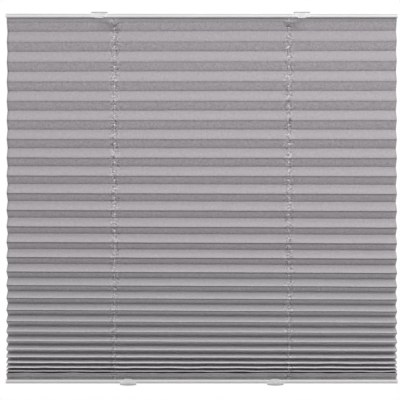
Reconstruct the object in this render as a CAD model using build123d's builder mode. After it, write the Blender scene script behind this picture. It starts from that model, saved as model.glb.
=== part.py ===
from build123d import *
import math
import os

# A pleated blind, let down: a top rail held by two clear clips, a pleated cloth, and a bottom rail
# that slides up and down on two cords. Millimetres. X runs along the rails, -Y is the room side and
# +Z is up. The origin is the middle of the plane that the top clips are fixed to.

# ---- driving dimensions -------------------------------------------------------------------------
RAIL_LENGTH = 700.0  # over the end caps
BLIND_DROP = 660.0  # top of the top rail to the foot of the bottom rail

RAIL_DEPTH = 22.0
RAIL_HEIGHT = 7.0
RAIL_WALL = 1.0
RAIL_CORNER = 1.5
SLOT_WIDTH = 3.0
GROOVE_WIDTH = 1.2
GROOVE_DEPTH = 0.5
GROOVE_LEVEL = 2.6  # from the rail's outer face down to the middle of the groove

CAP_PLATE = 1.5
CAP_PLUG = 8.0
CAP_CORNER = 0.5

FACET = 20.0  # cloth from one fold to the next
CLOTH = 0.3  # its thickness
FULLNESS = 1.645  # cloth length over hung length
PITCH_BOTTOM = 4.4  # the weight of the cloth opens the upper pleats and leaves the lowest closed
PITCH_POWER = 1.7
TOP_LEAD = 6.4  # rail to the first front fold
BOTTOM_LEAD = 7.3  # last front fold to the rail
CLOTH_SETBACK = 0.9  # the cloth runs behind the cords in both slots
FLAP = 5.0  # end of the cloth, glued flat under its strip

STRIP_WIDTH = 14.0
STRIP_THICKNESS = 1.0

CORD_REACH = 156.0  # from the middle to each cord
CORD = 0.8  # diameter
PUNCHED = 3.0  # diameter of the holes in the cloth and strips
CORD_TURN = 1.5  # radius at which a guide turns its cord
KNOT = 1.4  # diameter

TOP_CLIP_LEFT = 182.3  # from the middle; the clips snap on by hand, so these two differ
TOP_CLIP_RIGHT = 178.4
BOTTOM_CLIP_REACH = 131.2
CLIP_WIDTH = 28.8
CLIP_TONGUE = 14.0
CLIP_CROWN = 2.0  # stands above the rail
GRIP_BOW = 1.3  # the bottom clips' crowns swell by this in the middle, for the fingers
CLIP_WALL = 1.0
CLIP_RIB = 0.8  # the tongue and crown stand proud of the skirt
CLIP_SKIRT = 6.6  # how far the wide wall comes down the rail
CLIP_PAST = 1.8  # how far the tongue passes the rail
CLIP_LIP = 0.9

GUIDE_LENGTH = 12.0
GUIDE_WIDTH = 10.0
GUIDE_BACK = 4.0  # from the cord to the outer end of the guide

SPRING_LENGTH = 60.0
SPRING_WIRE = 0.4
SPRING_PITCH = 2.5
SPRING_ROOM = 0.3  # from the coils to the strip and to the roof of the rail

BEAD_RADIUS = 2.0
BEAD_HEIGHT = 2.2
BEAD_ROOF = 0.7  # above the knot's pocket

BOSS_RADIUS = 3.0
HOUSING_LENGTH = 26.0
HOUSING_WIDTH = 11.0
HOUSING_BACK = 6.0  # from the cord to the outer end of the housing
HOUSING_WALL = 2.0
HOUSING_WEB = 0.5  # between the bead's seat and the shoe

SHOE_LENGTH = 8.0
SHOE_BACK = 2.5  # from the cord to the outer end of the shoe
PUSH_SPRING_WIRE = 0.25
PUSH_SPRING_PITCH = 1.25

# ---- clearances ---------------------------------------------------------------------------------
FIT = 0.05  # a moulded piece in its seat, each side
RUNNING = 0.08  # a cord in a guide, each side
CLIP_FIT = 0.2  # clip wall from the rail's face
END_GAP = 0.2  # cloth from an end cap

# ---- derived sizes ------------------------------------------------------------------------------
rail_body = RAIL_LENGTH - 2 * CAP_PLATE
cloth_width = rail_body - 2 * END_GAP
top_slot_face = -CLIP_CROWN - RAIL_HEIGHT
bottom_slot_face = -CLIP_CROWN - BLIND_DROP + RAIL_HEIGHT

# Heights inside either rail, measured from the outer face of its slotted wall.
strip_low = RAIL_WALL + CLOTH
strip_high = strip_low + STRIP_THICKNESS
cavity_high = RAIL_HEIGHT - RAIL_WALL
cord_level = (strip_high + cavity_high) / 2
bead_low = RAIL_HEIGHT - FIT
bead_high = bead_low - BEAD_HEIGHT
seat_high = bead_high - FIT
shoe_floor = seat_high - HOUSING_WEB
pocket_high = bead_high + BEAD_ROOF
knot_centre = pocket_high + KNOT / 2 + FIT

# The pleats: the pitch falls from pitch_top to PITCH_BOTTOM by a power of the distance down.
pleated_run = BLIND_DROP - 2 * RAIL_HEIGHT - TOP_LEAD - BOTTOM_LEAD
mean_pitch = 2 * FACET / FULLNESS
pleats = round(pleated_run / mean_pitch)
pitch_top = ((PITCH_POWER + 1) * pleated_run / pleats - PITCH_BOTTOM) / PITCH_POWER
pitch_fall = pitch_top - PITCH_BOTTOM
first_fold = top_slot_face - TOP_LEAD


def fold_height(turn):
    """Height of the fold that many pleats below the first front fold. Back folds lie at halves."""
    eased = pitch_fall * pleats * (turn / pleats) ** (PITCH_POWER + 1) / (PITCH_POWER + 1)
    return first_fold - pitch_top * turn + eased


def fold_depth(turn):
    """Distance of that fold from the middle plane, so that each facet keeps its length."""
    pitch = pitch_top - pitch_fall * (turn / pleats) ** PITCH_POWER
    return math.sqrt(FACET**2 - (pitch / 2) ** 2) / 2


def save(part, label):
    part.label = label
    export_step(part, f"parts/{label}.step")


# ---- rails --------------------------------------------------------------------------------------
def rail(label, slot_face, way, foot_holes):
    """One slotted and grooved section. way is +1 where it lies above its slotted face, -1 below."""
    middle = slot_face + way * RAIL_HEIGHT / 2
    with BuildPart() as body:
        with BuildSketch(Plane.YZ):
            with Locations((0, middle)):
                RectangleRounded(RAIL_DEPTH, RAIL_HEIGHT, RAIL_CORNER)
                Rectangle(
                    RAIL_DEPTH - 2 * RAIL_WALL,
                    RAIL_HEIGHT - 2 * RAIL_WALL,
                    mode=Mode.SUBTRACT,
                )
            with Locations((0, slot_face + way * RAIL_WALL / 2)):
                Rectangle(SLOT_WIDTH, RAIL_WALL, mode=Mode.SUBTRACT)
            groove = slot_face + way * (RAIL_HEIGHT - GROOVE_LEVEL)
            with Locations((-RAIL_DEPTH / 2, groove), (RAIL_DEPTH / 2, groove)):
                Rectangle(2 * GROOVE_DEPTH, GROOVE_WIDTH, mode=Mode.SUBTRACT)
        extrude(amount=rail_body / 2, both=True)
        if foot_holes:
            with BuildSketch(Plane.XY.offset(slot_face + way * RAIL_HEIGHT)):
                with Locations((-CORD_REACH, 0), (CORD_REACH, 0)):
                    Circle(BOSS_RADIUS + FIT)
            extrude(amount=-way * RAIL_WALL, mode=Mode.SUBTRACT)
    save(body.part, label)


def cap(label, slot_face, way, side):
    """The end plate of a rail, with a plug that fills the cavity above the cloth strip."""
    inner = side * rail_body / 2
    plug_low = strip_high + FIT
    plug_high = cavity_high - FIT
    with BuildPart() as body:
        with BuildSketch(Plane.YZ.offset(inner)):
            with Locations((0, slot_face + way * RAIL_HEIGHT / 2)):
                RectangleRounded(RAIL_DEPTH, RAIL_HEIGHT, RAIL_CORNER)
        extrude(amount=side * CAP_PLATE)
        outer_face = body.faces().sort_by(Axis.X)[-1 if side > 0 else 0]
        fillet(outer_face.edges(), CAP_CORNER)
        with BuildSketch(Plane.YZ.offset(inner)):
            with Locations((0, slot_face + way * (plug_low + plug_high) / 2)):
                Rectangle(RAIL_DEPTH - 2 * RAIL_WALL - 2 * FIT, plug_high - plug_low)
        extrude(amount=-side * CAP_PLUG)
    save(body.part, label)


def strip(label, slot_face, way):
    """The flat bar that the end of the cloth is glued to, too wide for the slot."""
    with BuildPart() as body:
        with BuildSketch(Plane.XY.offset(slot_face + way * strip_low)):
            Rectangle(cloth_width, STRIP_WIDTH)
            with Locations((-CORD_REACH, 0), (CORD_REACH, 0)):
                Circle(PUNCHED / 2, mode=Mode.SUBTRACT)
        extrude(amount=way * STRIP_THICKNESS)
    save(body.part, label)


def clip(label, middle, slot_face, way, bow):
    """A clear clip snapped round a rail: a crown, a wide skirt and a thicker, narrow hooked tongue."""
    wall_in = RAIL_DEPTH / 2 + CLIP_FIT
    wall_out = wall_in + CLIP_WALL
    rib_out = wall_out + CLIP_RIB
    lip_in = wall_in - CLIP_LIP
    right = middle + CLIP_WIDTH / 2
    left = middle - CLIP_WIDTH / 2

    def level(height):
        return slot_face + way * height

    rail_top = level(RAIL_HEIGHT)
    crown = level(RAIL_HEIGHT + CLIP_CROWN)
    skirt_foot = level(RAIL_HEIGHT - CLIP_SKIRT)
    tongue_foot = level(-CLIP_PAST)
    with BuildPart() as body:
        with BuildSketch(Plane.XZ):
            with BuildLine():
                Polyline((left, crown), (left, rail_top), (right, rail_top), (right, crown))
                if bow:
                    swollen = level(RAIL_HEIGHT + CLIP_CROWN + bow)
                    ThreePointArc((right, crown), (middle, swollen), (left, crown))
                else:
                    Line((right, crown), (left, crown))
            make_face()
        extrude(amount=rib_out, both=True)
        for side in (-1, 1):
            with BuildSketch(Plane.YZ.offset(middle)):
                with Locations((side * (wall_in + wall_out) / 2, (rail_top + skirt_foot) / 2)):
                    Rectangle(CLIP_WALL, CLIP_SKIRT)
            extrude(amount=CLIP_WIDTH / 2, both=True)
            with BuildSketch(Plane.YZ.offset(middle)):
                with BuildLine():
                    Polyline(
                        (side * wall_in, rail_top),
                        (side * rib_out, rail_top),
                        (side * rib_out, tongue_foot),
                        (side * wall_in, tongue_foot),
                        (side * lip_in, slot_face),
                        (side * wall_in, slot_face),
                        close=True,
                    )
                make_face()
            extrude(amount=CLIP_TONGUE / 2, both=True)
    save(body.part, label)


# ---- cloth --------------------------------------------------------------------------------------
def cloth_line():
    """The cloth's middle line from the flap in the top rail to the flap in the bottom rail."""
    flap_level = RAIL_WALL + CLOTH / 2
    folds = [(-fold_depth(0), fold_height(0))]
    for turn in range(pleats):
        folds.append((fold_depth(turn + 0.5), fold_height(turn + 0.5)))
        folds.append((-fold_depth(turn + 1), fold_height(turn + 1)))
    return [
        (CLOTH_SETBACK + FLAP, top_slot_face + flap_level),
        (CLOTH_SETBACK, top_slot_face + flap_level),
        (CLOTH_SETBACK, top_slot_face),
        *folds,
        (CLOTH_SETBACK, bottom_slot_face),
        (CLOTH_SETBACK, bottom_slot_face - flap_level),
        (CLOTH_SETBACK + FLAP, bottom_slot_face - flap_level),
    ]


def cloth():
    points = cloth_line()
    with BuildPart() as body:
        with BuildSketch(Plane.YZ):
            with BuildLine():
                Polyline(*points)
                offset(amount=CLOTH / 2, kind=Kind.ARC, side=Side.BOTH)
            make_face()
        extrude(amount=cloth_width / 2, both=True)
        # Each facet is punched square to its face where the cords cross the middle plane.
        for upper, lower in zip(points[2:-3], points[3:-2]):
            share = upper[0] / (upper[0] - lower[0])
            height = upper[1] + share * (lower[1] - upper[1])
            square = Vector(0, lower[1] - upper[1], upper[0] - lower[0])
            for side in (-1, 1):
                face = Plane(origin=(side * CORD_REACH, 0, height), x_dir=(1, 0, 0), z_dir=square)
                with BuildSketch(face):
                    Circle(PUNCHED / 2)
                extrude(amount=2 * CLOTH, both=True, mode=Mode.SUBTRACT)
    save(body.part, "pleated_cloth")


# ---- cords, their guides and the tension spring ---------------------------------------------------
spring_half = SPRING_LENGTH / 2
spring_radius = (cavity_high - strip_high - SPRING_WIRE) / 2 - SPRING_ROOM  # to the wire's middle
knot_x = spring_half + spring_radius + SPRING_WIRE / 2 + KNOT / 2 - FIT
level_z = top_slot_face + cord_level


def cord(label, side):
    """From its knot at the spring, along the top rail, over the guide and down to its end bead."""
    foot = bottom_slot_face - knot_centre
    with BuildPart() as body:
        with BuildLine() as route:
            FilletPolyline(
                (side * knot_x, 0, level_z),
                (side * CORD_REACH, 0, level_z),
                (side * CORD_REACH, 0, foot),
                radius=CORD_TURN,
            )
        with BuildSketch(Plane(origin=route.line @ 0, z_dir=route.line % 0)):
            Circle(CORD / 2)
        sweep()
        with Locations((side * knot_x, 0, level_z), (side * CORD_REACH, 0, foot)):
            Sphere(KNOT / 2)
    save(body.part, label)


def guide(label, side):
    """A moulded block on the cloth strip with a rounded way through it for the cord."""
    outer = side * (CORD_REACH + GUIDE_BACK)
    inner = outer - side * GUIDE_LENGTH
    low = top_slot_face + strip_high
    high = top_slot_face + cavity_high - FIT
    with BuildPart() as body:
        with BuildSketch(Plane.XY.offset(low)):
            with Locations(((outer + inner) / 2, 0)):
                Rectangle(GUIDE_LENGTH, GUIDE_WIDTH)
        extrude(amount=high - low)
        fillet(body.edges().filter_by(Axis.Z), CAP_CORNER)
        with BuildLine() as route:
            FilletPolyline(
                (inner - side, 0, level_z),
                (side * CORD_REACH, 0, level_z),
                (side * CORD_REACH, 0, low - 1),
                radius=CORD_TURN,
            )
        with BuildSketch(Plane(origin=route.line @ 0, z_dir=route.line % 0)):
            Circle(CORD / 2 + RUNNING)
        sweep(mode=Mode.SUBTRACT)
    save(body.part, label)


def coil_spring(label, start, length, radius, wire, pitch, hooked):
    """A round-wire spring along +X from start. A pulling spring is hooked: half a ring at each end."""
    with BuildPart() as body:
        with BuildLine() as winding:
            Helix(pitch=pitch, height=length, radius=radius, center=start, direction=(1, 0, 0))
        with BuildSketch(Plane(origin=winding.line @ 0, z_dir=winding.line % 0)):
            Circle(wire / 2)
        sweep(is_frenet=True)
        if hooked:
            end = start + Vector(length, 0, 0)
            for centre, wire_end, way in ((start, winding.line @ 0, -1), (end, winding.line @ 1, 1)):
                with BuildLine() as hook:
                    across = centre - (wire_end - centre)
                    ThreePointArc(wire_end, centre + Vector(way * radius, 0, 0), across)
                with BuildSketch(Plane(origin=hook.line @ 0, z_dir=hook.line % 0)):
                    Circle(wire / 2)
                sweep()
    save(body.part, label)


def bead(label, side):
    """The stop on a cord's end, with a pocket in its foot for the knot."""
    foot = bottom_slot_face - bead_low
    with BuildPart() as body:
        with BuildSketch(Plane.XY.offset(foot)):
            with Locations((side * CORD_REACH, 0)):
                Circle(BEAD_RADIUS)
        extrude(amount=BEAD_HEIGHT)
        with BuildSketch(Plane.XY.offset(foot)):
            with Locations((side * CORD_REACH, 0)):
                Circle(KNOT / 2 + FIT)
        extrude(amount=bead_low - pocket_high, mode=Mode.SUBTRACT)
        with BuildSketch(Plane.XY.offset(foot)):
            with Locations((side * CORD_REACH, 0)):
                Circle(CORD / 2 + FIT)
        extrude(amount=BEAD_HEIGHT, mode=Mode.SUBTRACT)
    save(body.part, label)


# ---- cord brakes in the bottom rail ---------------------------------------------------------------
def brake(name, side):
    """A housing through the foot of the rail, a shoe that pinches the cord, and its push spring."""
    cord_x = side * CORD_REACH
    outer = cord_x + side * HOUSING_BACK
    inner = outer - side * HOUSING_LENGTH
    pocket_outer = outer - side * HOUSING_WALL
    pocket_inner = inner + side * HOUSING_WALL
    pocket_width = HOUSING_WIDTH - 2 * HOUSING_WALL
    top = bottom_slot_face - strip_high - FIT
    floor = bottom_slot_face - cavity_high
    shoe_bed = bottom_slot_face - shoe_floor
    with BuildPart() as housing:
        with BuildSketch(Plane.XY.offset(floor)):
            with Locations(((outer + inner) / 2, 0)):
                Rectangle(HOUSING_LENGTH, HOUSING_WIDTH)
        extrude(amount=top - floor)
        fillet(housing.edges().filter_by(Axis.Z), CAP_CORNER)
        with BuildSketch(Plane.XY.offset(floor)):
            with Locations((cord_x, 0)):
                Circle(BOSS_RADIUS)
        extrude(amount=-RAIL_WALL)
        with BuildSketch(Plane.XY.offset(shoe_bed)):
            with Locations(((pocket_outer + pocket_inner) / 2, 0)):
                Rectangle(abs(pocket_outer - pocket_inner), pocket_width)
        extrude(amount=top - shoe_bed, mode=Mode.SUBTRACT)
        with BuildSketch(Plane.XY.offset(floor - RAIL_WALL)):
            with Locations((cord_x, 0)):
                Circle(BEAD_RADIUS + FIT)
        extrude(amount=RAIL_HEIGHT - seat_high, mode=Mode.SUBTRACT)
        with BuildSketch(Plane.XY.offset(floor)):
            with Locations((cord_x, 0)):
                Circle(CORD / 2 + RUNNING)
        extrude(amount=top - floor, mode=Mode.SUBTRACT)
    save(housing.part, f"brake_housing_{name}")

    shoe_outer = cord_x + side * SHOE_BACK
    shoe_inner = shoe_outer - side * SHOE_LENGTH
    with BuildPart() as shoe:
        with BuildSketch(Plane.XY.offset(shoe_bed)):
            with Locations(((shoe_outer + shoe_inner) / 2, 0)):
                Rectangle(SHOE_LENGTH, pocket_width - 2 * FIT)
            with Locations((cord_x, 0)):
                Circle(CORD / 2 + FIT, mode=Mode.SUBTRACT)
        extrude(amount=top - shoe_bed - FIT)
    save(shoe.part, f"brake_shoe_{name}")

    push_length = abs(shoe_inner - pocket_inner) - PUSH_SPRING_WIRE
    push_radius = (top - shoe_bed - PUSH_SPRING_WIRE) / 2 - FIT
    coil_spring(
        f"brake_spring_{name}",
        Vector(min(shoe_inner, pocket_inner) + PUSH_SPRING_WIRE / 2, 0, (shoe_bed + top) / 2),
        push_length,
        push_radius,
        PUSH_SPRING_WIRE,
        PUSH_SPRING_PITCH,
        hooked=False,
    )


os.makedirs("parts", exist_ok=True)

rail("top_rail", top_slot_face, 1, foot_holes=False)
rail("bottom_rail", bottom_slot_face, -1, foot_holes=True)
strip("top_strip", top_slot_face, 1)
strip("bottom_strip", bottom_slot_face, -1)
cloth()
coil_spring(
    "tension_spring",
    Vector(-spring_half, 0, level_z),
    SPRING_LENGTH,
    spring_radius,
    SPRING_WIRE,
    SPRING_PITCH,
    hooked=True,
)
clip("top_clip_left", -TOP_CLIP_LEFT, top_slot_face, 1, bow=0)
clip("top_clip_right", TOP_CLIP_RIGHT, top_slot_face, 1, bow=0)
for name, side in (("left", -1), ("right", 1)):
    cap(f"top_cap_{name}", top_slot_face, 1, side)
    cap(f"bottom_cap_{name}", bottom_slot_face, -1, side)
    clip(f"bottom_clip_{name}", side * BOTTOM_CLIP_REACH, bottom_slot_face, -1, bow=GRIP_BOW)
    cord(f"cord_{name}", side)
    guide(f"cord_guide_{name}", side)
    bead(f"cord_bead_{name}", side)
    brake(name, side)
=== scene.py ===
import math

import bpy
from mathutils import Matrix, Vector


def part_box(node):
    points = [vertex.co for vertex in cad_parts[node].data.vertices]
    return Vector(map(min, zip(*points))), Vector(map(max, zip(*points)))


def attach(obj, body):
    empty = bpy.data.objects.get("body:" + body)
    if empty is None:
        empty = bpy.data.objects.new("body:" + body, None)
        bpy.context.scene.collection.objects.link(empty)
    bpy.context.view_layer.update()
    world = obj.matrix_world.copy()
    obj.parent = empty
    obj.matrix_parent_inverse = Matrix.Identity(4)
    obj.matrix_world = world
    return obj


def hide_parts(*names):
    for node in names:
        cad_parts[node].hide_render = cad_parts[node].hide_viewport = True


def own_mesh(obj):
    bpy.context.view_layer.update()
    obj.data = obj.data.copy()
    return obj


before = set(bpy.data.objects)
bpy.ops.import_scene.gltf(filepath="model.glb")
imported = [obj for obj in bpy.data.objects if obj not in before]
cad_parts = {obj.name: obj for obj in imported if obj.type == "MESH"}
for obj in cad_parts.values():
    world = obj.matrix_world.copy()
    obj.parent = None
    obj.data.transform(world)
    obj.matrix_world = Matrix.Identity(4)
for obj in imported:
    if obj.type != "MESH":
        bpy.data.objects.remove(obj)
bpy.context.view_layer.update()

# A pleated blind of crushed grey polyester between two slim white rails, with four clear clips.
# Metres, in the frame of the CAD model: X along the rails, -Y towards the room, +Z up.

MM = 0.001
MATH = "ShaderNodeMath"
VECTOR_MATH = "ShaderNodeVectorMath"
MIX = "ShaderNodeMix"
RAMP = "ShaderNodeMapRange"
NOISE = "ShaderNodeTexNoise"


def add(tree, kind, *values, into=None, **settings):
    """Adds a node: its settings, its inputs in order, then inputs by name. An input may be a node."""
    node = tree.nodes.new(kind)
    for name, value in settings.items():
        setattr(node, name, value)
    shown = [socket for socket in node.inputs if socket.enabled]
    pairs = list(zip(shown, values))
    for name, value in (into or {}).items():
        pairs.append((next(socket for socket in shown if socket.name == name), value))
    for socket, value in pairs:
        if isinstance(value, bpy.types.Node):
            value = next(output for output in value.outputs if output.enabled)
        if isinstance(value, bpy.types.NodeSocket):
            tree.links.new(value, socket)
        elif value is not None:
            socket.default_value = value
    return node


def linear(hex_colour):
    """An sRGB hex colour as linear RGBA."""
    parts = [int(hex_colour[k : k + 2], 16) / 255 for k in (1, 3, 5)]
    return (*(c / 12.92 if c <= 0.04045 else ((c + 0.055) / 1.055) ** 2.4 for c in parts), 1.0)


# ---- sizes of the cloth, as in the CAD model ----------------------------------------------------
CLOTH_THICKNESS = 0.3 * MM
FACET = 20 * MM
PLEATS = 26
FACETS = 2 * PLEATS + 2  # with the short lead at each end
PITCH_BOTTOM = 4.4 * MM
PITCH_POWER = 1.7  # how suddenly the pitch closes towards the foot
TOP_LEAD = 6.4 * MM
BOTTOM_LEAD = 7.3 * MM
SETBACK = 0.9 * MM  # how far behind the cords both ends run in their slots
FLAP = 5 * MM
FIRST_FOLD_DEPTH = 4.3 * MM
LAST_FOLD_DEPTH = 9.9 * MM

rail_low, rail_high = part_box("top_rail")
foot_rail_low, foot_rail_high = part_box("bottom_rail")
cloth_low, cloth_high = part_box("pleated_cloth")
bead_low, bead_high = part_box("cord_bead_right")

cord_reach = (bead_low.x + bead_high.x) / 2
cloth_width = cloth_high.x - cloth_low.x
slot_above = rail_low.z
slot_below = foot_rail_high.z
flap_rise = cloth_high.z - CLOTH_THICKNESS / 2 - slot_above
pleated_run = slot_above - slot_below - TOP_LEAD - BOTTOM_LEAD
pitch_top = ((PITCH_POWER + 1) * pleated_run / PLEATS - PITCH_BOTTOM) / PITCH_POWER

# ---- the cloth's mesh ---------------------------------------------------------------------------
# Steps across and down. They crowd at the folds, at the cords, and at the middle of each facet,
# where the holes are.
CORD_COLUMN = 20
HALF_COLUMNS = 45
WARP_COLUMNS = 5.2  # how many columns beside each cord are drawn towards it
FACET_SHARES = (0.0, 0.02, 0.06, 0.15, 0.425, 0.5, 0.575, 0.85, 0.94, 0.98)
STEPS = len(FACET_SHARES)
HOLE_STEP = 5
END_ROWS = 2
OCTAGON = math.sqrt(0.5)  # draws a hole's corners in, so that it has eight sides
NEAR = 0.1  # how near to a whole number counts as that number
NUDGE = 0.001  # keeps a row that lies on a fold in the facet below it

# ---- how the cloth hangs ------------------------------------------------------------------------
# Shares of the drop, from 0 at the first fold to 1 at the last, where each change begins or ends.
# Below, "Slip" is how far the lower folds have slid down, "Ride" how far the last ones are pushed
# up, "Lean" how far a fold's ends are out of level, and "Back Rise" how far the first back folds
# are lifted.
FRONT_SLIP_BEGINS, BACK_SLIP_BEGINS = 0.2, 0.45
FRONT_SLIP_ENDS, BACK_SLIP_ENDS = 0.37, 0.62
RIDE_BEGINS = 0.84
BACK_RISE_ENDS = 0.3
LEAN_PHASE = (1.25 * math.pi, -0.25 * math.pi)  # one way at the top and the other way below it
RUFFLE_POWER = 9.0
SLOW_WAVE = (9.0, 3.7, 1.0)  # turns of the wave each metre across, and its change from fold to fold
RUFFLE_WAVE = (24.0, 0.55, 1.0)
CRUSHES_PER_METRE = 75.0
CRUSH_GAIN = 5.0  # crushing is full over most of a facet, and fades at its folds
CURL_GAIN = 9.5  # brings the highest point of x^3 (1 - x) to 1
NOSE_SHARE = 0.045  # how much of a facet a fold's rounded nose takes
NOSE_FADE = 0.42  # and where the facet is flat again

CLOTH_SIZES = {
    "Column": cord_reach / CORD_COLUMN,
    "Half Width": cloth_width / 2,
    "Facet": FACET,
    "Pleats": float(PLEATS),
    "Pitch Top": pitch_top,
    "Pitch Fall": pitch_top - PITCH_BOTTOM,
    "Power": PITCH_POWER,
    "First Fold": slot_above - TOP_LEAD,
    "Slot Above": slot_above,
    "Slot Below": slot_below,
    "Setback": SETBACK,
    "Flap": FLAP,
    "Flap Rise": flap_rise,
    "Cord Reach": cord_reach,
    "Notch": 6.4 * MM,
    "Notch Outer": 20 * MM,
    "Notch Inner": 10 * MM,
    "Slip": 0.9 * MM,
    "Ride": 3.8 * MM,
    "Lean": 1.5 * MM,
    "Back Rise": 1.1 * MM,
    "Wave": 0.9 * MM,
    "Ruffle": 4.5 * MM,
    "Crush": 0.5 * MM,
    "Curl": 0.45 * MM,
    "Lead Belly": 10.0 * MM,
    "Crease": 0.12 * MM,
    "Nose": 0.55 * MM,
    "Seed": 7.0,
}


def hung_fold(tree, size, number):
    """A fold's share of the drop, the pitch there, and its height by the pitch law."""
    below_first = add(tree, MATH, number, 1.0, operation="SUBTRACT")
    turn = add(tree, MATH, below_first, 2.0, operation="DIVIDE")
    share = add(tree, MATH, turn, size["Pleats"], operation="DIVIDE", use_clamp=True)
    eased = add(tree, MATH, share, size["Power"], operation="POWER")
    lost = add(tree, MATH, eased, size["Pitch Fall"], operation="MULTIPLY")
    pitch = add(tree, MATH, size["Pitch Top"], lost, operation="SUBTRACT")

    # The height is the sum of the pitches above, which the power law gives in closed form.
    whole = add(tree, MATH, turn, size["Pitch Top"], operation="MULTIPLY")
    power_up = add(tree, MATH, size["Power"], 1.0, operation="ADD")
    lost_above = add(tree, MATH, lost, turn, operation="MULTIPLY")
    lost_sum = add(tree, MATH, lost_above, power_up, operation="DIVIDE")
    hung = add(tree, MATH, size["First Fold"], whole, operation="SUBTRACT")
    height = add(tree, MATH, hung, lost_sum, operation="ADD")
    return share, pitch, height


def fold_depth(tree, size, pitch, odd):
    """Half the horizontal reach of a facet that keeps its length. Odd folds lie in front."""
    half_pitch = add(tree, MATH, pitch, 2.0, operation="DIVIDE")
    drop = add(tree, MATH, half_pitch, 2.0, operation="POWER")
    length = add(tree, MATH, size["Facet"], 2.0, operation="POWER")
    reach = add(tree, MATH, length, drop, operation="SUBTRACT")
    root = add(tree, MATH, reach, operation="SQRT")
    depth = add(tree, MATH, root, 2.0, operation="DIVIDE")
    depth = add(tree, MATH, depth, size["Crease"], operation="SUBTRACT")
    side = add(tree, MATH, odd, -2.0, 1.0, operation="MULTIPLY_ADD")
    return add(tree, MATH, depth, side, operation="MULTIPLY")


def settled(tree, size, share, odd, across, height):
    """A fold's height once the cloth has slipped, ridden up, leant and lifted."""
    begins = add(tree, RAMP, odd, 0.0, 1.0, BACK_SLIP_BEGINS, FRONT_SLIP_BEGINS)
    ends = add(tree, RAMP, odd, 0.0, 1.0, BACK_SLIP_ENDS, FRONT_SLIP_ENDS)
    slipped = add(tree, RAMP, share, begins, ends, 0.0, 1.0)
    slip = add(tree, MATH, slipped, size["Slip"], operation="MULTIPLY")
    height = add(tree, MATH, height, slip, operation="SUBTRACT")
    riding = add(tree, RAMP, share, RIDE_BEGINS, 1.0, 0.0, 1.0)
    height = add(tree, MATH, riding, size["Ride"], height, operation="MULTIPLY_ADD")

    phase = add(tree, MATH, share, *LEAN_PHASE, operation="MULTIPLY_ADD")
    swing = add(tree, MATH, phase, operation="SINE")
    lean = add(tree, MATH, swing, size["Lean"], operation="MULTIPLY")
    sideways = add(tree, MATH, across, size["Half Width"], operation="DIVIDE")
    leant = add(tree, MATH, sideways, lean, operation="MULTIPLY")
    height = add(tree, MATH, height, leant, operation="SUBTRACT")

    lifted = add(tree, RAMP, share, 0.0, BACK_RISE_ENDS, size["Back Rise"], 0.0)
    is_back = add(tree, MATH, 1.0, odd, operation="SUBTRACT")
    return add(tree, MATH, is_back, lifted, height, operation="MULTIPLY_ADD")


def waved(tree, size, number, share, across, height):
    """A fold's height with its own slow wave, and the ruffle of the lowest ones."""
    place = add(tree, "ShaderNodeCombineXYZ", across, number, size["Seed"])
    stretched = add(tree, VECTOR_MATH, place, SLOW_WAVE, operation="MULTIPLY")
    slow = add(tree, NOISE, stretched, into={"Scale": 1.0, "Detail": 2.0})
    slow = add(tree, MATH, slow, 0.5, operation="SUBTRACT")
    closer = add(tree, VECTOR_MATH, place, RUFFLE_WAVE, operation="MULTIPLY")
    quick = add(tree, NOISE, closer, into={"Scale": 1.0, "Detail": 1.0})
    quick = add(tree, MATH, quick, 0.5, operation="SUBTRACT")
    lowest = add(tree, MATH, share, RUFFLE_POWER, operation="POWER")
    ruffle = add(tree, MATH, size["Ruffle"], lowest, operation="MULTIPLY")
    wave = add(tree, MATH, slow, size["Wave"], height, operation="MULTIPLY_ADD")
    return add(tree, MATH, quick, ruffle, wave, operation="MULTIPLY_ADD")


def notched(tree, size, number, across, height):
    """A fold's height where the cords drag the first front one down to a V, steeper inside."""
    whole_reach = add(tree, MATH, across, operation="ABSOLUTE")
    off_cord = add(tree, MATH, whole_reach, size["Cord Reach"], operation="SUBTRACT")
    outer = add(tree, MATH, off_cord, size["Notch Outer"], operation="DIVIDE")
    inner = add(tree, MATH, off_cord, size["Notch Inner"], operation="DIVIDE")
    inner = add(tree, MATH, inner, -1.0, operation="MULTIPLY")
    near = add(tree, MATH, outer, inner, operation="MAXIMUM")
    v_shape = add(tree, MATH, 1.0, near, operation="SUBTRACT", use_clamp=True)
    is_first = add(tree, MATH, number, 1.0, NEAR, operation="COMPARE")
    drag = add(tree, MATH, v_shape, is_first, operation="MULTIPLY")
    drag = add(tree, MATH, drag, size["Notch"], operation="MULTIPLY")
    return add(tree, MATH, height, drag, operation="SUBTRACT")


def fold_point(tree, size, number, across):
    """Depth and height of a fold, from its number. Both ends of the cloth run in a slot."""
    share, pitch, height = hung_fold(tree, size, number)
    odd = add(tree, MATH, number, 2.0, operation="MODULO")
    depth = fold_depth(tree, size, pitch, odd)
    height = settled(tree, size, share, odd, across, height)
    height = waved(tree, size, number, share, across, height)
    height = notched(tree, size, number, across, height)

    in_top = add(tree, MATH, number, 0.5, operation="LESS_THAN")
    in_bottom = add(tree, MATH, number, FACETS - 0.5, operation="GREATER_THAN")
    in_slot = add(tree, MATH, in_top, in_bottom, operation="ADD")
    depth = add(tree, MIX, into={"Factor": in_slot, "A": depth, "B": size["Setback"]})
    height = add(tree, MIX, into={"Factor": in_top, "A": height, "B": size["Slot Above"]})
    height = add(tree, MIX, into={"Factor": in_bottom, "A": height, "B": size["Slot Below"]})
    return depth, height


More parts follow.
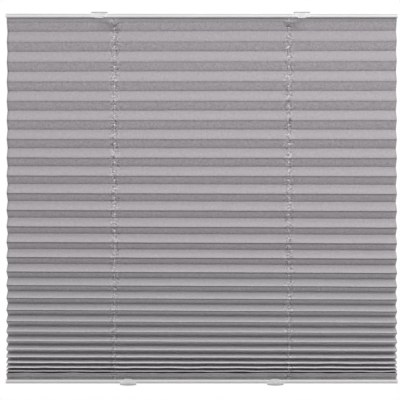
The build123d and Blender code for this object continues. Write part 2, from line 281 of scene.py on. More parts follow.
def column_places(tree, size, column, step):
    """Where a column lies across. Columns crowd at each cord, so that the first one beside it is
    at the edge of a hole. Also what shapes a hole: the columns and steps away, and the rounding."""
    side = add(tree, MATH, column, operation="ABSOLUTE")
    from_cord = add(tree, MATH, side, float(CORD_COLUMN), operation="SUBTRACT")
    away = add(tree, MATH, from_cord, operation="ABSOLUTE")
    squeeze = add(tree, MATH, away, WARP_COLUMNS, operation="DIVIDE", use_clamp=True)
    from_hole = add(tree, MATH, step, float(HOLE_STEP), operation="SUBTRACT")
    steps_away = add(tree, MATH, from_hole, operation="ABSOLUTE")
    beside = add(tree, MATH, away, 1.0, NEAR, operation="COMPARE")
    above = add(tree, MATH, steps_away, 1.0, NEAR, operation="COMPARE")
    corner = add(tree, MATH, beside, above, operation="MULTIPLY")
    rounding = add(tree, MIX, into={"Factor": corner, "A": 1.0, "B": OCTAGON})
    warped = add(tree, MATH, from_cord, squeeze, operation="MULTIPLY")
    warped = add(tree, MATH, warped, rounding, operation="MULTIPLY")
    across = add(tree, MATH, warped, float(CORD_COLUMN), operation="ADD")
    across = add(tree, MATH, across, size["Column"], operation="MULTIPLY")
    across = add(tree, MATH, across, size["Half Width"], operation="MINIMUM")
    hand = add(tree, MATH, column, operation="SIGN")
    across = add(tree, MATH, across, hand, operation="MULTIPLY")
    return across, away, steps_away, rounding


def facet_share(tree, step, rounding):
    """How far down its facet a row lies, from 0 to 1."""
    shares = tree.nodes.new("GeometryNodeIndexSwitch")
    shares.data_type = "FLOAT"
    while len(shares.index_switch_items) < STEPS:
        shares.index_switch_items.new()
    tree.links.new(add(tree, "FunctionNodeFloatToInt", step).outputs[0], shares.inputs["Index"])
    for number, share in enumerate(FACET_SHARES):
        shares.inputs[str(number)].default_value = share
    from_middle = add(tree, MATH, shares, 0.5, operation="SUBTRACT")
    return add(tree, MATH, from_middle, rounding, 0.5, operation="MULTIPLY_ADD")


def through_cords(tree, share, rest, crossing):
    """Shifts a share so that the middle row lies where the facet crosses the cords' plane."""
    doubled = add(tree, MATH, share, 2.0, operation="MULTIPLY")
    upper = add(tree, MATH, doubled, crossing, operation="MULTIPLY")
    doubled = add(tree, MATH, rest, 2.0, operation="MULTIPLY")
    beyond = add(tree, MATH, 1.0, crossing, operation="SUBTRACT")
    lower = add(tree, MATH, doubled, beyond, operation="MULTIPLY")
    lower = add(tree, MATH, 1.0, lower, operation="SUBTRACT")
    in_lower = add(tree, MATH, share, 0.5, operation="GREATER_THAN")
    return add(tree, MIX, into={"Factor": in_lower, "A": upper, "B": lower})


def bulge(tree, share):
    """How far the cloth stands off its flat facet, of the nose's radius, that share from a fold."""
    near = add(tree, MATH, share, NOSE_SHARE, operation="DIVIDE", use_clamp=True)
    inner = add(tree, MATH, 1.0, near, operation="SUBTRACT")
    inner = add(tree, MATH, inner, 2.0, operation="POWER")
    inner = add(tree, MATH, inner, -1.0, 1.0, operation="MULTIPLY_ADD")
    rise = add(tree, MATH, inner, operation="SQRT")
    fade = add(tree, RAMP, share, NOSE_SHARE, NOSE_FADE, 1.0, 0.0,
               interpolation_type="SMOOTHSTEP")
    return add(tree, MATH, rise, fade, operation="MULTIPLY")


def crushed_lift(tree, size, share, rest, laid):
    """The crushing, square to a facet. It leaves the folds where they are."""
    crush = add(tree, NOISE, laid, into={"Scale": CRUSHES_PER_METRE, "Detail": 2.0})
    crush = add(tree, MATH, crush, 0.5, operation="SUBTRACT")
    crush = add(tree, MATH, crush, size["Crush"], operation="MULTIPLY")
    window = add(tree, MATH, share, rest, operation="MULTIPLY")
    window = add(tree, MATH, window, CRUSH_GAIN, operation="MULTIPLY", use_clamp=True)
    return add(tree, MATH, crush, window, operation="MULTIPLY")


def stand_off(tree, size, facet, share, rest, drop, laid):
    """How far the cloth stands off its flat facet: crushing, curl, belly and rounded noses."""
    odd = add(tree, MATH, facet, 2.0, operation="MODULO")
    to_end = add(tree, MATH, 1.0, share, operation="SUBTRACT")

    # A facet that comes forward curls above its front fold.
    forward = add(tree, MATH, 1.0, odd, operation="SUBTRACT")
    cubed = add(tree, MATH, share, 3.0, operation="POWER")
    curl = add(tree, MATH, cubed, to_end, operation="MULTIPLY")
    curl = add(tree, MATH, curl, CURL_GAIN, operation="MULTIPLY")
    curl = add(tree, MATH, curl, forward, operation="MULTIPLY")
    crush = crushed_lift(tree, size, share, rest, laid)
    lift = add(tree, MATH, curl, size["Curl"], crush, operation="MULTIPLY_ADD")

    # The lead from the top rail bellies out.
    is_lead = add(tree, MATH, facet, 0.5, operation="LESS_THAN")
    root = add(tree, MATH, share, operation="SQRT")
    belly = add(tree, MATH, root, to_end, operation="MULTIPLY")
    belly = add(tree, MATH, belly, is_lead, operation="MULTIPLY")
    lift = add(tree, MATH, belly, size["Lead Belly"], lift, operation="MULTIPLY_ADD")

    # Closed pleats can't crease flat: the cloth swells to a rounded nose at each fold.
    hanging = add(tree, MATH, size["Facet"], -1.0, operation="MULTIPLY")
    opening = add(tree, MATH, drop, hanging, operation="DIVIDE", use_clamp=True)
    closing = add(tree, MATH, 1.0, opening, operation="SUBTRACT")
    radius = add(tree, MATH, closing, size["Nose"], operation="MULTIPLY")
    outward = add(tree, MATH, bulge(tree, to_end), bulge(tree, share), operation="SUBTRACT")
    way = add(tree, MATH, odd, -2.0, 1.0, operation="MULTIPLY_ADD")
    outward = add(tree, MATH, outward, way, operation="MULTIPLY")
    return add(tree, MATH, outward, radius, lift, operation="MULTIPLY_ADD")


def flapped(tree, size, down, depth, height):
    """Depth and height where, past the facets, each end turns through its slot to a flat flap."""
    over = add(tree, MATH, 0.0, down, operation="SUBTRACT", use_clamp=True)
    past = add(tree, MATH, down, float(STEPS * FACETS), operation="SUBTRACT", use_clamp=True)
    outside = add(tree, MATH, over, past, operation="SUBTRACT")
    height = add(tree, MATH, outside, size["Flap Rise"], height, operation="MULTIPLY_ADD")
    flap_top = add(tree, MATH, down, 0.5 - END_ROWS, operation="LESS_THAN")
    flap_bottom = add(tree, MATH, down, STEPS * FACETS + END_ROWS - 0.5, operation="GREATER_THAN")
    in_flap = add(tree, MATH, flap_top, flap_bottom, operation="ADD")
    depth = add(tree, MATH, in_flap, size["Flap"], depth, operation="MULTIPLY_ADD")
    return depth, height


def cloth_tree(material):
    """A flat grid, folded to and fro, and punched for the cords."""
    tree = bpy.data.node_groups.new("pleated cloth", "GeometryNodeTree")
    tree.interface.new_socket("Geometry", in_out="INPUT", socket_type="NodeSocketGeometry")
    tree.interface.new_socket("Geometry", in_out="OUTPUT", socket_type="NodeSocketGeometry")
    for name in CLOTH_SIZES:
        tree.interface.new_socket(name, in_out="INPUT", socket_type="NodeSocketFloat")
    entry = add(tree, "NodeGroupInput")
    size = {name: entry.outputs[name] for name in CLOTH_SIZES}

    columns = 2 * HALF_COLUMNS
    rows = STEPS * FACETS + 2 * END_ROWS
    grid = add(tree, "GeometryNodeMeshGrid", float(columns), float(rows), columns + 1, rows + 1)
    flat = add(tree, "ShaderNodeSeparateXYZ", add(tree, "GeometryNodeInputPosition"))
    down = add(tree, MATH, rows / 2 - END_ROWS, flat.outputs["Y"], operation="SUBTRACT")
    in_facets = add(tree, "ShaderNodeClamp", down, 0.0, float(STEPS * FACETS))
    step = add(tree, MATH, in_facets, float(STEPS), operation="MODULO")
    across, away, steps_away, rounding = column_places(tree, size, flat.outputs["X"], step)

    # Which facet a row lies on, how far down it, and the folds above and below.
    facet = add(tree, MATH, in_facets, float(STEPS), operation="DIVIDE")
    facet = add(tree, MATH, facet, NUDGE, operation="ADD")
    facet = add(tree, MATH, facet, operation="FLOOR")
    share = facet_share(tree, step, rounding)
    next_facet = add(tree, MATH, facet, 1.0, operation="ADD")
    depth_over, height_over = fold_point(tree, size, facet, across)
    depth_under, height_under = fold_point(tree, size, next_facet, across)
    fall_back = add(tree, MATH, depth_over, depth_under, operation="SUBTRACT")
    crossing = add(tree, MATH, depth_over, fall_back, operation="DIVIDE", use_clamp=True)
    rest = add(tree, MATH, 1.0, share, operation="SUBTRACT")
    share = through_cords(tree, share, rest, crossing)
    depth = add(tree, MIX, into={"Factor": share, "A": depth_over, "B": depth_under})
    height = add(tree, MIX, into={"Factor": share, "A": height_over, "B": height_under})

    drop = add(tree, MATH, height_under, height_over, operation="SUBTRACT")
    square = add(tree, "ShaderNodeCombineXYZ", 0.0, drop, fall_back)
    square = add(tree, VECTOR_MATH, square, operation="NORMALIZE")
    run = add(tree, MATH, facet, share, operation="ADD")
    run = add(tree, MATH, run, size["Facet"], operation="MULTIPLY")
    laid = add(tree, "ShaderNodeCombineXYZ", across, run, size["Seed"])
    lift = stand_off(tree, size, facet, share, rest, drop, laid)
    bend = add(tree, VECTOR_MATH, square, into={"Scale": lift}, operation="SCALE")
    depth, height = flapped(tree, size, down, depth, height)
    folded = add(tree, "ShaderNodeCombineXYZ", across, depth, height)
    folded = add(tree, VECTOR_MATH, folded, bend, operation="ADD")

    hole_columns = add(tree, MATH, away, 1.0, operation="LESS_THAN")
    hole_rows = add(tree, MATH, steps_away, 1.0, operation="LESS_THAN")
    hole = add(tree, MATH, hole_columns, hole_rows, operation="MULTIPLY")
    punched = add(tree, "GeometryNodeDeleteGeometry", grid.outputs["Mesh"], hole, domain="FACE")
    pattern = add(tree, "ShaderNodeCombineXYZ", across, run, 0.0)
    mapped = add(tree, "GeometryNodeStoreNamedAttribute", punched,
                 into={"Name": "cloth", "Value": pattern}, data_type="FLOAT2", domain="CORNER")
    posed = add(tree, "GeometryNodeSetPosition", mapped, into={"Position": folded})
    smooth = add(tree, "GeometryNodeSetShadeSmooth", posed)
    real = add(tree, "GeometryNodeRealizeInstances", smooth)
    done = add(tree, "GeometryNodeSetMaterial", real, into={"Material": material})
    add(tree, "NodeGroupOutput", done)
    return tree


def baked(name, tree, sizes, finish):
    """The plain mesh that a geometry tree gives with those sizes, as a new object."""
    carrier = bpy.data.objects.new(name + " carrier", bpy.data.meshes.new(name + " carrier"))
    bpy.context.scene.collection.objects.link(carrier)
    modifier = carrier.modifiers.new("shape", "NODES")
    modifier.node_group = tree
    for item in tree.interface.items_tree:
        if item.in_out == "INPUT" and item.name in sizes:
            modifier[item.identifier] = sizes[item.name]
    finish(carrier)
    bpy.context.view_layer.update()
    mesh = bpy.data.meshes.new_from_object(
        carrier.evaluated_get(bpy.context.evaluated_depsgraph_get())
    )
    mesh.name = name
    made = bpy.data.objects.new(name, mesh)
    bpy.context.scene.collection.objects.link(made)
    bpy.data.objects.remove(carrier)
    return made


def thickened(carrier):
    """Gives the cloth its thickness, half to each side."""
    solid = carrier.modifiers.new("thickness", "SOLIDIFY")
    solid.thickness = CLOTH_THICKNESS
    solid.offset = 0.0


# ---- tones of the cloth -------------------------------------------------------------------------
# Each is a share of the plain grey: painted shade and painted highlights, which along the fold
# lines hold the press marks too. A ramp gives where it begins and ends, then its tone at each. The
# first ones run down the drop, from 0 at the top rail to 1 at the foot.
UNDER_LINE = (0.1, 0.5, 0.82, 0.42)  # the painted shade line under a front fold, with its press mark
UNDER_LINE_END = (0.1, 0.6, 0.08, 0.14)  # how far below the fold that line ends, in turns
BACK_LINE = (0.1, 0.5, 0.78, 0.74)  # the painted shade line over a back fold
BACK_RIM = (0.1, 0.6, 1.07, 1.14)  # the painted light rim under a back fold
FACING_DOWN = (0.0, 0.3, 1.07, 1.0)  # painted light: facets that face down, lighter near the top
LOWER_LIGHTENED = (0.05, 0.6, 1.0, 1.14)  # painted light: the lower cloth, a little lighter all over
TUCKED = (0.945, 1.0, 1.0, 0.45)  # the last folds, deep in shade
CLOSING = (0.68, 0.88, 0.0, 1.0)  # from open pleats' lines to closed pleats' edges
LOWER_HUE = (0.4, 0.62, 0.0, 1.0)

OVER_FOLD = 0.9  # the painted shade line over a front fold
LIP_HIGHLIGHT = 1.85  # which turns to a painted highlight on the lip where the pleats are closed
UNDER_LIP_LIGHT = 1.1  # and painted light on the cloth just under that lip
CLOSING_POWER = 4.0  # how suddenly they close
BACK_CLOSED = 1.45  # painted light over a back fold of closed pleats
TURNED_IN = (0.1, 0.6, 1.0, 1.25)  # painted light on facets that face down, by how far the pleats are closed
LAST_LEAD = 0.9  # painted shade on the lead down to the bottom rail
LAST_LEAD_BEGINS = PLEATS + 0.55  # in turns

# Where in a turn, from 0 at a back fold through 0.5 at the front one, a line begins and ends.
OVER_FRONT = (-0.1, -0.01)  # from the front fold, as is the next
UNDER_FRONT_BEGINS = 0.05
OVER_BACK = (0.86, 0.98)
UNDER_BACK = (0.02, 0.4)
UNDER_BACK_END = 0.98

# Along the cloth from the top rail, and beside the cords: painted light on the lead under the top
# rail, painted shade where the cords drag the cloth, and a stronger painted crinkle beside them.
LEADING = (0.0, 0.6 * FACET, 1.95, 1.0)
DRAGGED_OUTSIDE = (0.0, 36 * MM, 0.8, 1.0)
DRAGGED_INSIDE = (-3 * MM, -10 * MM, 0.8, 1.0)
DRAGGED_MIDDLE, DRAGGED_REACH = 1.35 * FACET, 0.55 * FACET
PUCKERED = (2 * MM, 12 * MM, 6.0, 0.0)

# The crinkle: two sizes of crushing. The finest lines of a real one would not show.
CRINKLE_SIZE = 4 * MM
FINE_CRINKLE_SIZE = 1.8 * MM
FINE_SHARE = 0.4
CRINKLE_MEAN = 0.7  # the mean of both together
CRINKLE_HEIGHT = 1.3 * MM
MOTTLE = 0.52  # how much the crinkle's painted light and shade mottles the cloth
MOTTLE_UNDER = 1.9  # and how many times more on facets that face down
THROUGH = 0.08  # the light that passes through the cloth

# ---- materials ----------------------------------------------------------------------------------
GROOVE_LEVEL = 2.6 * MM  # above the foot of the bottom rail, and below the top of the top one
GROOVE_WIDTH = 1.2 * MM
# Painted shade, as shares of the white: in both rails' grooves, over the bottom rail, and most on its
# upper face, the ledge.
GROOVE_TONE = 0.92
FOOT_GROOVE_TONE = 0.55
FOOT_TONE = 0.9
LEDGE_TONE = 0.6
LEDGE_HEIGHT = 0.3 * MM


def new_material(name):
    """An empty material, its tree and its Principled shader."""
    material = bpy.data.materials.new(name)
    material.use_nodes = True
    tree = material.node_tree
    shader = next(node for node in tree.nodes if node.type == "BSDF_PRINCIPLED")
    return material, tree, shader


def show(tree, surface):
    """Makes a shader the material's surface, and gives the material's output."""
    output = next(node for node in tree.nodes if node.type == "OUTPUT_MATERIAL")
    tree.links.new(surface.outputs["Shader"], output.inputs["Surface"])
    return output


def front_tone(tree, off_front, is_under, down):
    """Painted shade lines on both sides of a front fold, which turn to a painted highlight on closed
    pleats.
    """
    closed = add(tree, MATH, down, CLOSING_POWER, operation="POWER")
    closing = add(tree, RAMP, down, *CLOSING)
    over = add(tree, MIX, into={"Factor": closed, "A": OVER_FOLD, "B": LIP_HIGHLIGHT})
    over = add(tree, RAMP, off_front, *OVER_FRONT, 1.0, over)
    line = add(tree, RAMP, down, *UNDER_LINE)
    line = add(tree, MIX, into={"Factor": closing, "A": line, "B": UNDER_LIP_LIGHT})
    line_end = add(tree, RAMP, down, *UNDER_LINE_END)
    turned_in = add(tree, RAMP, closed, *TURNED_IN)
    under = add(tree, RAMP, off_front, UNDER_FRONT_BEGINS, line_end, line, turned_in)
    return add(tree, MIX, into={"Factor": is_under, "A": over, "B": under})


def back_tones(tree, turn, down):
    """The painted shade line over a back fold, and the painted light rim under it."""
    closing = add(tree, RAMP, down, *CLOSING)
    line = add(tree, RAMP, down, *BACK_LINE)
    line = add(tree, MIX, into={"Factor": closing, "A": line, "B": BACK_CLOSED})
    rim = add(tree, RAMP, down, *BACK_RIM)
    over = add(tree, RAMP, turn, *OVER_BACK, 1.0, line)
    under = add(tree, RAMP, turn, *UNDER_BACK, rim, UNDER_BACK_END)
    return over, under


def end_tones(tree, turns, run, down):
    """Painted light on the lead under the top rail, and painted shade in the last folds."""
    leading = add(tree, RAMP, run, *LEADING)
    tucked = add(tree, RAMP, down, *TUCKED)
    is_last = add(tree, MATH, turns, LAST_LEAD_BEGINS, operation="GREATER_THAN")
    tucked = add(tree, MIX, into={"Factor": is_last, "A": tucked, "B": LAST_LEAD})
    return leading, tucked


def dragged_tone(tree, run, beyond_cord):
    """The shade on the first facets where the cords drag them down."""
    outside = add(tree, RAMP, beyond_cord, *DRAGGED_OUTSIDE)
    inside = add(tree, RAMP, beyond_cord, *DRAGGED_INSIDE)
    dragged = add(tree, MATH, outside, inside, operation="MAXIMUM")
    in_first = add(tree, MATH, run, DRAGGED_MIDDLE, DRAGGED_REACH, operation="COMPARE")
    return add(tree, MIX, into={"Factor": in_first, "A": 1.0, "B": dragged})


def mottled_tone(tree, crinkle, is_under, beyond_cord):
    """The crinkle's painted light and shade, strongest beside the cords."""
    from_cord = add(tree, MATH, beyond_cord, operation="ABSOLUTE")
    puckered = add(tree, RAMP, from_cord, *PUCKERED)
    crushed = add(tree, RAMP, is_under, 0.0, 1.0, 1.0, MOTTLE_UNDER)
    contrast = add(tree, MATH, crushed, puckered, operation="ADD")
    contrast = add(tree, MATH, contrast, MOTTLE, operation="MULTIPLY")
    level = add(tree, MATH, crinkle, CRINKLE_MEAN, operation="SUBTRACT")
    return add(tree, MATH, level, contrast, 1.0, operation="MULTIPLY_ADD")


def crushed_polyester():
    """Pleated crushed polyester: matt grey and finely crinkled, with painted shade and press marks
    along each fold and painted highlights on closed pleats' lips. It lets a little light through, and
    a faint sheen shows where it is seen aslant."""
    material, tree, shader = new_material("crushed polyester")
    laid = add(tree, "ShaderNodeUVMap", uv_map="cloth")
    coarse = add(tree, NOISE, laid, into={"Scale": 1 / CRINKLE_SIZE, "Detail": 3.0,
                                          "Roughness": 0.6, "Distortion": 1.0})
    fine = add(tree, NOISE, laid,
               into={"Scale": 1 / FINE_CRINKLE_SIZE, "Detail": 2.0, "Roughness": 0.5})
    crinkle = add(tree, MATH, fine, FINE_SHARE, coarse, operation="MULTIPLY_ADD")

    # A turn is two facets, from one back fold to the next.
    place = add(tree, "ShaderNodeSeparateXYZ", laid)
    run = place.outputs["Y"]
    turns = add(tree, MATH, run, 2 * FACET, operation="DIVIDE")
    turn = add(tree, MATH, turns, operation="FRACT")
    down = add(tree, MATH, turns, float(PLEATS), operation="DIVIDE", use_clamp=True)
    off_front = add(tree, MATH, turn, 0.5, operation="SUBTRACT")
    is_under = add(tree, MATH, off_front, 0.0, operation="GREATER_THAN")
    side = add(tree, MATH, place.outputs["X"], operation="ABSOLUTE")
    beyond_cord = add(tree, MATH, side, cord_reach, operation="SUBTRACT")

    # Painted light and shade at the folds, the ends and beside the cords, multiplied together.
    facing_down = add(tree, RAMP, down, *FACING_DOWN)
    facing_down = add(tree, MIX, into={"Factor": is_under, "A": 1.0, "B": facing_down})
    painted_light_and_shade = front_tone(tree, off_front, is_under, down)
    for tone in (*back_tones(tree, turn, down), facing_down, *end_tones(tree, turns, run, down),
                 dragged_tone(tree, run, beyond_cord)):
        painted_light_and_shade = add(tree, MATH, painted_light_and_shade, tone, operation="MULTIPLY")
    shade = mottled_tone(tree, crinkle, is_under, beyond_cord)
    for tone in (painted_light_and_shade, add(tree, RAMP, down, *LOWER_LIGHTENED)):
        shade = add(tree, MATH, shade, tone, operation="MULTIPLY")

    lower = add(tree, RAMP, down, *LOWER_HUE)
    grey = add(tree, MIX, data_type="RGBA",
               into={"Factor": lower, "A": linear("#b0abaf"), "B": linear("#b0adb0")})
    colour = add(tree, VECTOR_MATH, grey.outputs[2], into={"Scale": shade}, operation="SCALE")
    bump = add(tree, "ShaderNodeBump",
               into={"Strength": 1.0, "Distance": CRINKLE_HEIGHT, "Height": crinkle})
    tree.links.new(colour.outputs["Vector"], shader.inputs["Base Color"])
    tree.links.new(bump.outputs["Normal"], shader.inputs["Normal"])
    shader.inputs["Roughness"].default_value = 0.85
    shader.inputs["Sheen Weight"].default_value = 0.08
    shader.inputs["Sheen Roughness"].default_value = 0.5
    through = add(tree, "ShaderNodeBsdfTranslucent", into={"Color": colour, "Normal": bump})
    show(tree, add(tree, "ShaderNodeMixShader", THROUGH, shader, through))
    return material


def rail_shade(tree, level):
    """The painted shade on the bottom rail, most on its upper face, and in both rails' grooves."""
    in_foot = add(tree, MATH, level, (slot_above + slot_below) / 2, operation="LESS_THAN")
    groove = add(tree, RAMP, in_foot, 0.0, 1.0, rail_high.z - GROOVE_LEVEL,
                 foot_rail_low.z + GROOVE_LEVEL)
    in_groove = add(tree, MATH, level, groove, GROOVE_WIDTH / 2, operation="COMPARE")
    on_ledge = add(tree, MATH, level, slot_below, LEDGE_HEIGHT, operation="COMPARE")
    line = add(tree, RAMP, in_foot, 0.0, 1.0, GROOVE_TONE, FOOT_GROOVE_TONE)
    line = add(tree, MIX, into={"Factor": in_groove, "A": 1.0, "B": line})
    foot_shade = add(tree, RAMP, in_foot, 0.0, 1.0, 1.0, FOOT_TONE)
    ledge = add(tree, RAMP, on_ledge, 0.0, 1.0, 1.0, LEDGE_TONE)
    shade = add(tree, MATH, foot_shade, line, operation="MULTIPLY")
    return add(tree, MATH, shade, ledge, operation="MULTIPLY")


def powder_coat():
    """Powder-coated aluminium: satin white with a faint orange peel, and shaded low down."""
    material, tree, shader = new_material("powder-coated aluminium")
    coords = add(tree, "ShaderNodeTexCoord").outputs["Object"]
    peel_size, cloud_size, peel_height = 0.9 * MM, 60 * MM, 0.02 * MM
    peel = add(tree, NOISE, coords, into={"Scale": 1 / peel_size, "Detail": 2.0})
    bump = add(tree, "ShaderNodeBump",
               into={"Strength": 0.4, "Distance": peel_height, "Height": peel})
    cloud = add(tree, NOISE, coords, into={"Scale": 1 / cloud_size, "Detail": 3.0})
    coat = add(tree, MIX, data_type="RGBA",
               into={"Factor": cloud, "A": linear("#dfdfde"), "B": linear("#e6e6e6")})
    level = add(tree, "ShaderNodeSeparateXYZ", coords).outputs["Z"]
    colour = add(tree, VECTOR_MATH, coat.outputs[2], into={"Scale": rail_shade(tree, level)},
                 operation="SCALE")
    tree.links.new(colour.outputs["Vector"], shader.inputs["Base Color"])
    tree.links.new(bump.outputs["Normal"], shader.inputs["Normal"])
    shader.inputs["Roughness"].default_value = 0.38
    return material


def moulded(name, hex_colour, roughness, grain):
    """A moulded plastic: even colour, with the fine grain or ripple that its mould leaves."""
    material, tree, shader = new_material(name)
    coords = add(tree, "ShaderNodeTexCoord").outputs["Object"]
    ripple_height, spread = 0.02 * MM, 0.15
    ripple = add(tree, NOISE, coords, into={"Scale": 1 / grain, "Detail": 2.0})
    bump = add(tree, "ShaderNodeBump",
               into={"Strength": 0.3, "Distance": ripple_height, "Height": ripple})
    rough = add(tree, RAMP, ripple, 0.3, 0.7, roughness * (1 - spread), roughness * (1 + spread))
    tree.links.new(bump.outputs["Normal"], shader.inputs["Normal"])
    tree.links.new(rough.outputs["Result"], shader.inputs["Roughness"])
    shader.inputs["Base Color"].default_value = linear(hex_colour)
    return material


def clear_polycarbonate():
    """Clear moulded polycarbonate, part clear and part milky: light where it is thin, and grey
    where it is seen through its length. Lamps shine through it."""
    material, tree, shader = new_material("clear polycarbonate")
    coords = add(tree, "ShaderNodeTexCoord").outputs["Object"]
    flow_size, flow_height = 3 * MM, 0.03 * MM
    flow = add(tree, NOISE, coords, into={"Scale": 1 / flow_size, "Detail": 2.0})
    bump = add(tree, "ShaderNodeBump",
               into={"Strength": 0.3, "Distance": flow_height, "Height": flow})
    tree.links.new(bump.outputs["Normal"], shader.inputs["Normal"])
    shader.inputs["Base Color"].default_value = linear("#fbfbfb")
    shader.inputs["Transmission Weight"].default_value = 0.6
    shader.inputs["IOR"].default_value = 1.585
    shader.inputs["Roughness"].default_value = 0.05
    open_to_lamps = add(tree, "ShaderNodeBsdfTransparent", linear("#f5f5f5"))
    ray = add(tree, "ShaderNodeLightPath")
    surface = add(tree, "ShaderNodeMixShader", ray.outputs["Is Shadow Ray"], shader, open_to_lamps)
    output = show(tree, surface)
    murk = add(tree, "ShaderNodeVolumeAbsorption")
    murk.inputs["Color"].default_value = (0.76, 0.76, 0.76, 1.0)
    murk.inputs["Density"].default_value = 300.0
    tree.links.new(murk.outputs["Volume"], output.inputs["Volume"])
    return material


def braided_polyester():
    """Braided polyester cord: pale grey, with the slanting plaits of its braid. They are drawn
    7.5 mm apart, because a real braid's 1 mm would not show."""
    material, tree, shader = new_material("braided polyester")
    coords = add(tree, "ShaderNodeTexCoord").outputs["Object"]
    plait, plait_height = 1.2 * MM, 0.08 * MM  # the plaits are 2 pi times this apart
    braid = add(tree, "ShaderNodeTexWave", coords, bands_direction="DIAGONAL",
                into={"Scale": 1 / (10 * plait), "Distortion": 1.5, "Detail": 1.0})
    tone = add(tree, MIX, data_type="RGBA",
               into={"Factor": braid, "A": linear("#b9b6b8"), "B": linear("#dad8d9")})
    bump = add(tree, "ShaderNodeBump",
               into={"Strength": 0.6, "Distance": plait_height, "Height": braid})
    tree.links.new(tone.outputs[2], shader.inputs["Base Color"])
    tree.links.new(bump.outputs["Normal"], shader.inputs["Normal"])
    shader.inputs["Roughness"].default_value = 0.7
    return material


def spring_wire():
    """Drawn spring steel: bright, with fine streaks of gloss from the die."""
    material, tree, shader = new_material("drawn spring steel")
    coords = add(tree, "ShaderNodeTexCoord").outputs["Object"]
    streak = 0.2 * MM
    streaks = add(tree, NOISE, coords, into={"Scale": 1 / streak, "Detail": 2.0})
    rough = add(tree, RAMP, streaks, 0.3, 0.7, 0.22, 0.38)
    tree.links.new(rough.outputs["Result"], shader.inputs["Roughness"])
    shader.inputs["Base Color"].default_value = linear("#b9babb")
    shader.inputs["Metallic"].default_value = 1.0
    return material


# ---- the object ---------------------------------------------------------------------------------
def make_cloth(material):
    """The pleated cloth, from flap to flap."""
    cloth = baked("crushed_cloth", cloth_tree(material), CLOTH_SIZES, thickened)

    # It was cut as long as its facets, and at each end a lead, the turn through a slot and a flap.
    developed = 2 * PLEATS * FACET
    for depth, rise in ((FIRST_FOLD_DEPTH, TOP_LEAD), (LAST_FOLD_DEPTH, BOTTOM_LEAD)):
        developed += math.hypot(depth + SETBACK, rise) + flap_rise + FLAP
    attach(cloth, "top_assembly")
    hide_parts("pleated_cloth")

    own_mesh(cloth)


def finish_nodes():
    """Gives each node that stays its material. A node is known by a mark in its name, and the
    cords, which have none, are braided."""
    clear = clear_polycarbonate()
    nylon = moulded("moulded nylon", "#e9e8e2", 0.45, 0.8 * MM)
    steel = spring_wire()
    braid = braided_polyester()
    finishes = {
        "_rail": powder_coat(),
        "_strip": moulded("extruded PVC", "#e4e4e2", 0.4, 1.2 * MM),
        "_cap_": moulded("moulded white ABS", "#f3f3f1", 0.3, 1.5 * MM),
        "_clip_": clear,
        "_bead_": clear,
        "_spring": steel,
        "spring_": steel,
        "_guide_": nylon,
        "_housing_": nylon,
        "_shoe_": nylon,
    }
    for name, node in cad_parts.items():
        if name != "pleated_cloth":
            finish = next((finishes[mark] for mark in finishes if mark in name), braid)
            node.data.materials.clear()
            node.data.materials.append(finish)


# ---- studio -------------------------------------------------------------------------------------
VIEW_DISTANCE = 2.2
VIEW_ASIDE = -3.1 * MM
VIEW_BELOW_MIDDLE = 2.8 * MM
VIEW_WIDTH = 712.4 * MM  # what the camera sees across, at the rails' front
VIEW_END = 50.0
SENSOR = 36.0
WHITE = (1.0, 1.0, 1.0)
WORLD_FRONT = 0.46  # how bright the room is in front of the blind, and behind it
WORLD_BACK = 0.7
WORLD_TURN = (-0.2, 0.5)
KEY_PLACE, KEY_SIZE, KEY_POWER = (0.8, -1.9, 1.2), (1.6, 1.0), 34.0
OVERHEAD_PLACE, OVERHEAD_SIZE, OVERHEAD_POWER = (0.2, -1.0, 3.4), (2.0, 2.0), 44.0
FLOOR_LEVEL = -1.6
FLOOR_REACH = 3.0

middle = (rail_high.z + foot_rail_low.z) / 2


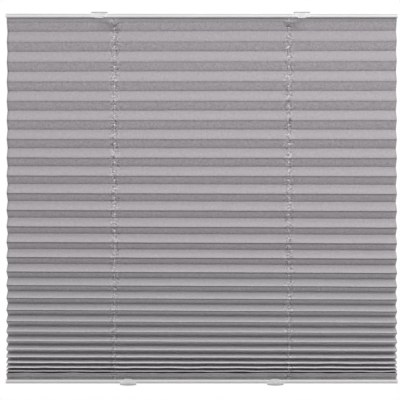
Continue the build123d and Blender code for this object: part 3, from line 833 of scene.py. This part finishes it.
def make_camera():
    """Level and square to the blind, with its middle almost in the middle of the view."""
    data = bpy.data.cameras.new("camera")
    data.sensor_width = SENSOR
    data.lens = SENSOR * VIEW_DISTANCE / VIEW_WIDTH
    data.clip_end = VIEW_END
    camera = bpy.data.objects.new("camera", data)
    camera.location = (VIEW_ASIDE, rail_low.y - VIEW_DISTANCE, middle - VIEW_BELOW_MIDDLE)
    camera.rotation_euler = (math.pi / 2, 0, 0)
    bpy.context.scene.collection.objects.link(camera)
    bpy.context.scene.camera = camera


def soft_box(name, place, size, power):
    """A white soft box at place, turned towards the middle of the blind."""
    data = bpy.data.lights.new(name, "AREA")
    data.shape = "RECTANGLE"
    data.size, data.size_y = size
    data.energy = power
    data.color = WHITE
    light = bpy.data.objects.new(name, data)
    light.location = place
    way = Vector((0.0, 0.0, middle)) - Vector(place)
    light.rotation_euler = way.to_track_quat("-Z", "Y").to_euler()
    bpy.context.scene.collection.objects.link(light)


def make_room():
    """Even white surroundings, seen as plain white, and brighter behind the blind."""
    world = bpy.data.worlds.new("white room")
    bpy.context.scene.world = world
    world.use_nodes = True
    tree = world.node_tree
    tree.nodes.clear()
    ray = add(tree, "ShaderNodeLightPath")
    seen = add(tree, "ShaderNodeBackground", (*WHITE, 1.0), 1.0)
    way = add(tree, "ShaderNodeTexCoord").outputs["Generated"]
    rise = add(tree, "ShaderNodeSeparateXYZ", way).outputs["Y"]
    glow = add(tree, RAMP, rise, *WORLD_TURN, WORLD_FRONT, WORLD_BACK)
    lit = add(tree, "ShaderNodeBackground", (*WHITE, 1.0), glow)
    both = add(tree, "ShaderNodeMixShader", ray.outputs["Is Camera Ray"], lit, seen)
    add(tree, "ShaderNodeOutputWorld", both)


def make_floor():
    """A plain pale floor, well below the blind."""
    mesh = bpy.data.meshes.new("floor")
    corners = [(x * FLOOR_REACH, y * FLOOR_REACH, FLOOR_LEVEL)
               for x, y in ((-1, -1), (1, -1), (1, 1), (-1, 1))]
    mesh.from_pydata(corners, [], [(0, 1, 2, 3)])
    floor = bpy.data.objects.new("floor", mesh)
    mesh.materials.append(moulded("pale studio floor", "#f2f2f2", 0.8, 20 * MM))
    bpy.context.scene.collection.objects.link(floor)


make_cloth(crushed_polyester())
finish_nodes()
make_camera()
soft_box("overhead", OVERHEAD_PLACE, OVERHEAD_SIZE, OVERHEAD_POWER)
soft_box("key", KEY_PLACE, KEY_SIZE, KEY_POWER)
make_room()
make_floor()
bpy.context.scene.view_settings.view_transform = "Standard"
